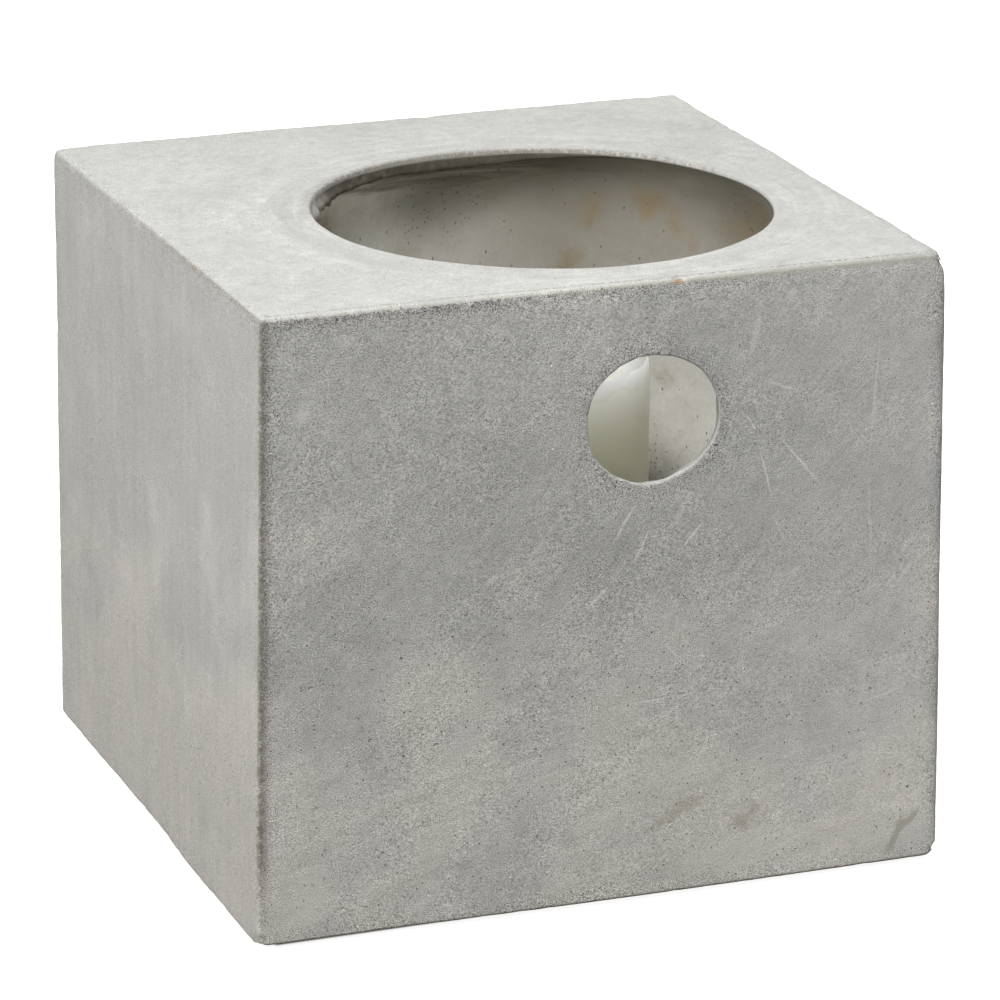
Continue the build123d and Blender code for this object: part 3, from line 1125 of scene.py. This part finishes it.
def cement_tone(s, v):
    """One number that lightens or darkens the cement."""
    v.grit = s.sum(s.times(s.swing(v.sand), 1.7), s.times(s.swing(v.coarse_sand), 0.42))
    tone = s.sum(
        1.0,
        s.times(s.swing(v.clouds), s.fade(v.side, 0.26, 0.15)),
        s.times(s.swing(v.blotches), s.fade(v.side, 0.34, 0.16)),
        s.times(s.swing(v.mottle), s.fade(v.side, 0.34, 0.16)),
        s.times(v.grit, v.sandy, 1.9),
        s.times(s.swing(v.sweeps), s.fade(v.side, 0.3, 0.16)),
        s.times(s.swing(v.streaks), s.fade(v.side, 0.03, 0.2)),
        s.times(v.front, s.sum(s.step(v.x, 30.0, 130.0, 0.0, 0.13), s.step(v.z, 160.0, 40.0, -0.03, 0.07))),
        s.times(v.side, s.step(v.z, 150.0, 40.0, 0.035, -0.09)),
    )
    off_foot = s.step(v.z, FOOT + 3.0, FOOT + 22.0)
    dark_band = s.times(s.step(v.edge, 7.0, 1.5), s.step(v.mottle, 0.3, 0.6), v.front, off_foot, 0.26)
    dark_ring = s.times(s.step(v.window, 8.0, 1.0), s.step(v.mottle, 0.34, 0.6), v.front, 0.14)
    dark_patch = s.times(s.attribute("shade"), s.step(v.mottle, 0.25, 0.65), 0.26)
    return s.sum(tone, s.times(s.sum(dark_band, dark_ring, dark_patch), -1.0))


def bare_cement(s, v):
    """Cool and warm grey, warmer towards the foot, and paler on the top face as painted light."""
    tone = cement_tone(s, v)
    warm = s.step(s.sum(v.warmth, s.step(v.z, 190.0, 20.0, -0.1, 0.16)), 0.38, 0.72)
    colour = s.mix(warm, COOL, WARM)
    # painted light: the top face is made paler for the light that falls on it
    colour = s.mix(s.times(v.top, 0.86), colour, LIT_TOP)
    return s.scale_colour(colour, tone)


def front_marks(s, v, colour):
    """Scratches, pale spots and smudges on the front face."""
    scratch = scratch_marks(s, s.warped(1.6, 9.0))
    v.scratch = s.times(scratch, s.step(v.coarse_sand, 0.32, 0.54, 0.25, 1.0), v.front)
    colour = s.mix(v.scratch, colour, SCRATCHED)
    colour = s.mix(s.attribute("spots"), colour, SPOT)
    smudge = s.step(s.sum(s.attribute("smudges"), s.times(s.swing(v.mottle), 0.9)), 0.22, 0.75)
    return s.mix(s.times(smudge, 0.7), colour, OLIVE)


def grains_and_pores(s, v, colour):
    """Dark grains, pin holes and a few glints of quartz."""
    specks = s.times(s.dots(1.25, 0.3, 0.3), s.step(s.sum(v.sandy, s.times(v.mottle, 0.6)), 0.55, 1.1), 0.6)
    colour = s.mix(specks, colour, DARK_GRAIN)
    low_middle = s.step(v.z, 190.0, 120.0, 0.35, 1.0)
    pores = s.most(s.dots(2.7, 0.34, 0.3), s.times(s.dots(9.0, 0.6, 0.14), 0.9))
    v.pores = s.times(pores, low_middle, s.fade(v.inside, 1.0, 0.6))
    colour = s.mix(s.times(v.pores, 0.8), colour, PORE)
    glints = s.dots(6.0, 0.42, 0.14, at=s.stretch(shift=(55.0, 21.0, 9.0)))
    return s.mix(s.times(glints, s.fade(v.inside, 0.7, 0.0)), colour, QUARTZ)


def worn_edges(s, v, colour):
    """Cream crest, rubbed arris, rusty grains, a fine line behind the crest, a painted shadow line along the
    foot and one chip.
    """
    upper = s.step(v.z, TOP - 9.0, TOP - 5.0)
    reach = s.fade(v.rounder, 1.1, 3.6)
    crest = s.times(s.step(s.math("DIVIDE", v.edge, reach), 1.25, 0.55), s.step(v.mottle, 0.22, 0.46), upper)
    cream = s.times(crest, s.attribute("crest"), s.step(v.coarse_sand, 0.3, 0.5, 0.45, 0.85))
    colour = s.mix(cream, colour, s.scale_colour(CREAM, s.fade(v.rounder, 1.0, 0.78)))
    arris = s.times(s.attribute("arris"), s.step(v.coarse_sand, 0.34, 0.58, 0.25, 0.88))
    colour = s.mix(arris, colour, RUBBED)
    rusty = s.times(s.dots(1.9, 0.5, 0.34, at=s.stretch(shift=(9.0, 70.0, 31.0))), s.step(v.edge, 3.2, 0.9))
    colour = s.mix(s.times(rusty, s.step(v.rounder, 0.0, 0.6, 0.75, 0.2)), colour, RUSTY_GRAIN)
    behind = s.times(s.step(v.edge, 3.2, 4.4), s.step(v.edge, 5.6, 4.6),
                     s.step(v.coarse_sand, 0.4, 0.58), v.top)
    colour = s.mix(s.times(behind, s.step(v.y, -138.0, -142.0, 0.0, 0.62)), colour, EDGE_LINE)
    # painted shadow: a dark line along the foot, where the block meets the floor
    foot_shadow = s.times(s.step(v.z, FOOT + 1.5, FOOT + 0.5), s.step(v.edge, 2.4, 1.0), 0.75)
    colour = s.mix(foot_shadow, colour, FOOT_SHADOW)
    chip = s.mark(s.place, (CHIP_X, -half_width(TOP) + 1.4, TOP - 0.6), (3.4, 2.4, 2.4), soft=0.6)
    return s.mix(s.times(chip, 0.85), colour, CHIP_HEART)


def trowelled_top(s, v, colour):
    """Trowel marks that run round the opening on the top face, and dirt along the back of its rim."""
    v.swirl = s.noise(7, 4, 0.6, 1.2, at=s.round_axis(0.12))
    near_opening = s.step(s.from_axis(), OPENING_RADIUS + 46.0, OPENING_RADIUS + 6.0)
    ridge = s.times(s.step(v.swirl, 0.42, 0.62), v.top)
    ridge_depth = s.sum(0.03, s.times(near_opening, s.step(v.clouds, 0.4, 0.62), 0.1))
    colour = s.scale_colour(colour, s.sum(1.0, s.times(s.swing(ridge), v.top, ridge_depth)))
    rim_dirt = s.times(s.step(s.from_axis(), OPENING_RADIUS + 6.5, OPENING_RADIUS + 1.5),
                       s.step(s.sum(v.coarse_sand, s.times(s.sum(v.y, -40.0), 0.003)), 0.4, 0.66),
                       s.step(v.z, TOP - 4.0, TOP - 0.6))
    return s.mix(s.times(rim_dirt, s.fade(v.inside, 0.75, 0.0)), colour, RIM_DIRT)


def well_colour(s, v):
    """The well: smooth, pale and stained, darker towards the top by an amount that is painted light and shade
    round the wall, brown under the lip with painted shade, and painted candle shadow low on the far wall.
    """
    well_tone = s.sum(0.97, s.times(s.swing(v.clouds), 0.5), s.times(s.swing(v.blotches), 0.5),
                      s.times(s.swing(v.mottle), 0.28), s.times(s.swing(v.coarse_sand), 0.3))
    well = s.scale_colour(WELL_PALE, well_tone)
    grime_and_shadow = s.times(s.attribute("grime_and_shadow"), s.step(v.mottle, 0.1, 0.5))
    bugs = s.most(s.dots(2.8, 0.36, 0.34, at=s.stretch(z=0.5)), s.dots(13.0, 1.0, 0.3))
    v.bugs = s.times(bugs, s.step(v.blotches, 0.36, 0.5))
    well = s.mix(s.times(v.bugs, 0.72), well, WELL_BUG)
    # darker towards the top of the well, by an amount that is painted light and shade round the wall
    darker_towards_top = s.step(s.sum(v.z, s.times(s.swing(v.blotches), 36.0)), TOP - 118.0, TOP - 30.0)
    well_shading = s.attribute("well_shading")
    # painted light: the back left of the wall is made a little lighter
    well = s.scale_colour(well, s.step(well_shading, 0.0, -0.5, 1.0, 1.04))
    well = s.mix(s.times(darker_towards_top, well_shading, 0.84), well, WELL_TOP_DARK)
    # a brown streak just under the rim: a stain, with painted shade
    streak = s.step(s.sum(v.z, s.times(s.swing(v.swirl), 30.0)), TOP - 18.0, TOP - 8.0)
    well = s.mix(s.times(streak, s.step(s.attribute("lip_band_strength"), 0.75, 1.0, 0.15, 0.66)), well, LIP_STAIN_AND_SHADE)
    # painted shadow of the candle low on the far wall, and grime elsewhere
    well = s.mix(s.times(grime_and_shadow, 0.92), well, GRIME_AND_SHADOW_DARK)
    grains = s.times(s.dots(1.9, 0.46, 0.4), s.step(grime_and_shadow, 0.02, 0.3), 0.75)
    well = s.mix(grains, well, WELL_GRAIN)
    rust = s.step(s.sum(s.attribute("rust"), s.times(s.swing(v.mottle), 1.1)), 0.05, 1.0)
    well = s.mix(s.times(rust, s.step(v.blotches, 0.3, 0.6, 0.35, 0.85)), well, RUST)
    # brown under the lip: a stain, with painted shade where the lip is lit
    under_lip = s.times(v.lip, s.step(v.mottle, 0.2, 0.56, 0.55, 0.95), s.attribute("lip_band_strength"))
    return s.mix(under_lip, well, LIP_STAIN_AND_SHADE)


def cement_material():
    s = Shader("cast_cement")
    v = cement_values(s)
    v.sandy = sandiness(s, v)
    colour = bare_cement(s, v)
    for layer in (front_marks, grains_and_pores, worn_edges, trowelled_top):
        colour = layer(s, v, colour)
    colour = s.mix(v.inside, colour, well_colour(s, v))
    height = s.sum(
        s.times(v.grit, v.sandy, s.fade(v.inside, 0.3, 0.1)),
        s.times(v.mottle, 0.25),
        s.times(s.most(v.pores, v.bugs), -0.35),
        s.times(v.scratch, -0.15),
    )
    return s.finish(colour, s.step(v.blotches, 0.3, 0.7, 0.82, 0.95), height, Specular_IOR_Level=0.25)


# ================ the other materials
def floor_material():
    s = Shader("floor_cement")
    blotches = s.noise(21, 4, 0.6, 0.6)
    mottle = s.noise(6, 4, 0.6)
    grit = s.noise(1.1, 3, 0.65)
    tone = s.sum(0.62, s.times(blotches, 0.35), s.times(mottle, 0.25), s.times(grit, 0.22))
    colour = s.scale_colour(s.mix(s.step(blotches, 0.4, 0.65), (0.5, 0.49, 0.46), (0.58, 0.565, 0.52)), tone)
    pores = s.dots(4.0, 0.4, 0.18)
    colour = s.mix(s.times(pores, 0.7), colour, (0.12, 0.11, 0.09))
    drips = s.times(s.dots(19.0, 3.4, 0.22, at=s.warped(4.0, 7.0)), s.step(s.noise(60, 1), 0.45, 0.6))
    colour = s.mix(s.times(drips, 0.55), colour, (0.72, 0.7, 0.62))
    height = s.sum(s.times(grit, 0.16), s.times(mottle, 0.3), s.times(pores, -0.3), s.times(drips, 0.4))
    return s.finish(colour, 0.9, height, Specular_IOR_Level=0.25)


def wax_material():
    s = Shader("ivory_wax")
    melt = s.attribute("melt")
    clouds = s.noise(30, 3, 0.5)
    fine = s.noise(2.5, 3, 0.6)
    colour = s.mix(s.step(clouds, 0.35, 0.7), (0.982, 0.969, 0.765), (0.986, 0.975, 0.805))
    # painted light: the melted top of the candle is whitened, standing in for light falling on it through the
    # opening
    colour = s.mix(s.times(melt, 0.8), colour, (0.99, 0.983, 0.89))
    melt_line = s.times(melt, s.math("SUBTRACT", 1.0, melt), 4.0)
    colour = s.mix(s.times(melt_line, s.step(fine, 0.35, 0.6), 0.45), colour, (0.86, 0.81, 0.64))
    specks = s.dots(11.0, 0.22, 0.14)
    colour = s.mix(s.times(specks, 0.35), colour, (0.45, 0.42, 0.35))
    height = s.sum(s.times(clouds, 0.5), s.times(fine, 0.06))
    return s.finish(colour, s.step(melt, 0.0, 1.0, 0.46, 0.3), height,
                    Subsurface_Weight=1.0, Subsurface_Radius=(1.0, 0.985, 0.94), Subsurface_Scale=44 * MM)


def wick_material():
    s = Shader("cotton_wick")
    burnt = s.attribute("burnt")
    fibre = s.noise(0.5, 4, 0.7, at=s.stretch(z=0.25))
    cotton = s.scale_colour((0.8, 0.76, 0.64), s.step(fibre, 0.2, 0.8, 0.7, 1.1))
    char = s.scale_colour((0.035, 0.03, 0.026), s.step(fibre, 0.2, 0.8, 0.5, 1.8))
    colour = s.mix(s.step(s.sum(burnt, s.times(fibre, 0.4)), 0.4, 0.7), cotton, char)
    return s.finish(colour, 0.92, s.times(fibre, 0.25))


def felt_material():
    s = Shader("grey_felt")
    fibre = s.noise(0.6, 5, 0.75, 1.5)
    tangle = s.noise(2.2, 4, 0.7, 1.0)
    tone = s.sum(0.5, s.times(fibre, 0.6), s.times(tangle, 0.5))
    colour = s.scale_colour((0.1, 0.095, 0.09), tone)
    return s.finish(colour, 0.97, s.sum(s.times(fibre, 0.35), s.times(tangle, 0.4)), Sheen_Weight=0.4)


def tin_material():
    s = Shader("dull_tin")
    rolled = s.noise(0.7, 3, 0.6, at=s.stretch(x=1.0, y=0.06, z=1.0))
    patches = s.noise(4.0, 3, 0.55)
    colour = s.mix(s.step(patches, 0.4, 0.7), (0.62, 0.62, 0.6), (0.48, 0.46, 0.42))
    height = s.sum(s.times(rolled, 0.03), s.times(patches, 0.05))
    return s.finish(colour, s.step(rolled, 0.3, 0.7, 0.32, 0.5), height, Metallic=1.0)


# ================ build
build_block(cement_material())
build_floor(floor_material())
build_pads(felt_material())
build_candle(wax_material())
build_wick(wick_material())
tab = frame["nodes"]["wick_tab"]
tin = tin_material()
for slot in tab.material_slots:
    slot.material = tin


# ================ studio
STAGE_GLOW = 0.8  # lifts the floor to white for the camera
CONTACT = 8.6  # the floor is dark from this far inside the block's foot
STAGE_HEIGHT = -0.3 * MM  # just under the pads
STAGE_REACH = 9.0  # half the floor's side


def build_stage():
    """A pale floor that reads as white, with a soft contact shadow.

    Only the camera sees it, and only from above: the light that a floor would throw back comes from the lower
    half of the sky, so the underside can be looked at as well.
    """
    mesh = bpy.data.meshes.new("studio_floor")
    corners = [(x * STAGE_REACH, y * STAGE_REACH, STAGE_HEIGHT) for x, y in CORNERS]
    mesh.from_pydata(corners, [], [(0, 1, 2, 3)])
    s = Shader("studio_floor")
    surface = s.add("BsdfPrincipled")
    s.fill(surface, {"Base Color": (0.85, 0.85, 0.85, 1.0), "Roughness": 0.95, "Specular IOR Level": 0.0,
                     "Emission Color": (1.0, 1.0, 1.0, 1.0)})
    x, y, _ = s.axes()
    from_middle = s.most(s.math("ABSOLUTE", x, 0.0), s.math("ABSOLUTE", y, 0.0))
    glow = s.step(from_middle, HALF_WIDTH - CONTACT, HALF_WIDTH - CONTACT + 2.0, 0.0, STAGE_GLOW)
    s.put(surface.inputs["Emission Strength"], glow)
    from_camera = s.add("LightPath").outputs["Is Camera Ray"]
    from_below = s.add("NewGeometry").outputs["Backfacing"]
    seen = s.times(from_camera, s.math("SUBTRACT", 1.0, from_below))
    choice = s.add("MixShader")
    clear = s.add("BsdfTransparent").outputs[0]
    either = s.fill(choice, {0: seen, 1: clear, 2: surface.outputs[0]})
    s.put(s.add("OutputMaterial").inputs["Surface"], either)
    mesh.materials.append(s.material)
    stage = bpy.data.objects.new("studio_floor", mesh)
    bpy.context.scene.collection.objects.link(stage)


SKY_STRENGTH = 0.4
GROUND_STRENGTH = 0.3
LIGHT_DISTANCE = 1.8
Softbox = namedtuple("Softbox", "name azimuth elevation size power")
SOFTBOXES = (
    Softbox("key_softbox", -33, 50, 0.75, 29.0),
    Softbox("left_softbox", -90, 20, 0.9, 13.0),
    Softbox("back_softbox", 140, 22, 0.9, 10.0),
)


def direction(azimuth, elevation):
    """Unit vector towards a light or camera; azimuth 0 is in front of the object, on the -Y side."""
    azimuth, elevation = math.radians(azimuth), math.radians(elevation)
    return Vector((
        math.sin(azimuth) * math.cos(elevation),
        -math.cos(azimuth) * math.cos(elevation),
        math.sin(elevation),
    ))


def aim(data, towards, place):
    """An object for a light or camera, at a place and looking back along a direction."""
    holder = bpy.data.objects.new(data.name, data)
    bpy.context.scene.collection.objects.link(holder)
    holder.location = place
    holder.rotation_euler = towards.to_track_quat("Z", "Y").to_euler()
    return holder


def build_sky():
    """An even sky, dimmer below the horizon, which the camera sees as a white backdrop."""
    world = bpy.data.worlds.new("studio")
    world.use_nodes = True
    sky = Wiring(world.node_tree)
    place = sky.add("TexCoord").outputs["Generated"]
    height = sky.fill(sky.add("SeparateXYZ"), {0: place}, 2)
    horizon = {"From Min": -0.05, "From Max": 0.05, "To Min": GROUND_STRENGTH, "To Max": SKY_STRENGTH}
    glow = sky.fill(sky.add("MapRange"), horizon | {"Value": height})
    seen = sky.add("LightPath").outputs["Is Camera Ray"]
    strength = sky.fill(sky.add("MapRange"), {"Value": seen, "To Min": glow})
    background = world.node_tree.nodes["Background"]
    sky.fill(background, {0: (1.0, 1.0, 1.0, 1.0), 1: strength})
    bpy.context.scene.world = world


def build_lights():
    """Three round softboxes aimed at the middle of the top face."""
    for softbox in SOFTBOXES:
        light = bpy.data.lights.new(softbox.name, "AREA")
        light.shape = "DISK"
        light.size = softbox.size
        light.energy = softbox.power
        towards = direction(softbox.azimuth, softbox.elevation)
        aim(light, towards, towards * LIGHT_DISTANCE + Vector((0, 0, TOP * MM)))


CAMERA_AZIMUTH = -20.376
CAMERA_ELEVATION = 17.894
CAMERA_DISTANCE = 2.2716
CAMERA_LENS = 188.62
SENSOR_WIDTH = 36.0
CAMERA_TARGET = Vector((7.9, 0.0, FOOT + 128.5)) * MM


def build_camera():
    camera = bpy.data.cameras.new("camera")
    camera.sensor_width = SENSOR_WIDTH
    camera.lens = CAMERA_LENS
    camera.clip_end = 50
    towards = direction(CAMERA_AZIMUTH, CAMERA_ELEVATION)
    bpy.context.scene.camera = aim(camera, towards, CAMERA_TARGET + towards * CAMERA_DISTANCE)


build_stage()
build_sky()
build_lights()
build_camera()
bpy.context.scene.view_settings.view_transform = "Standard"
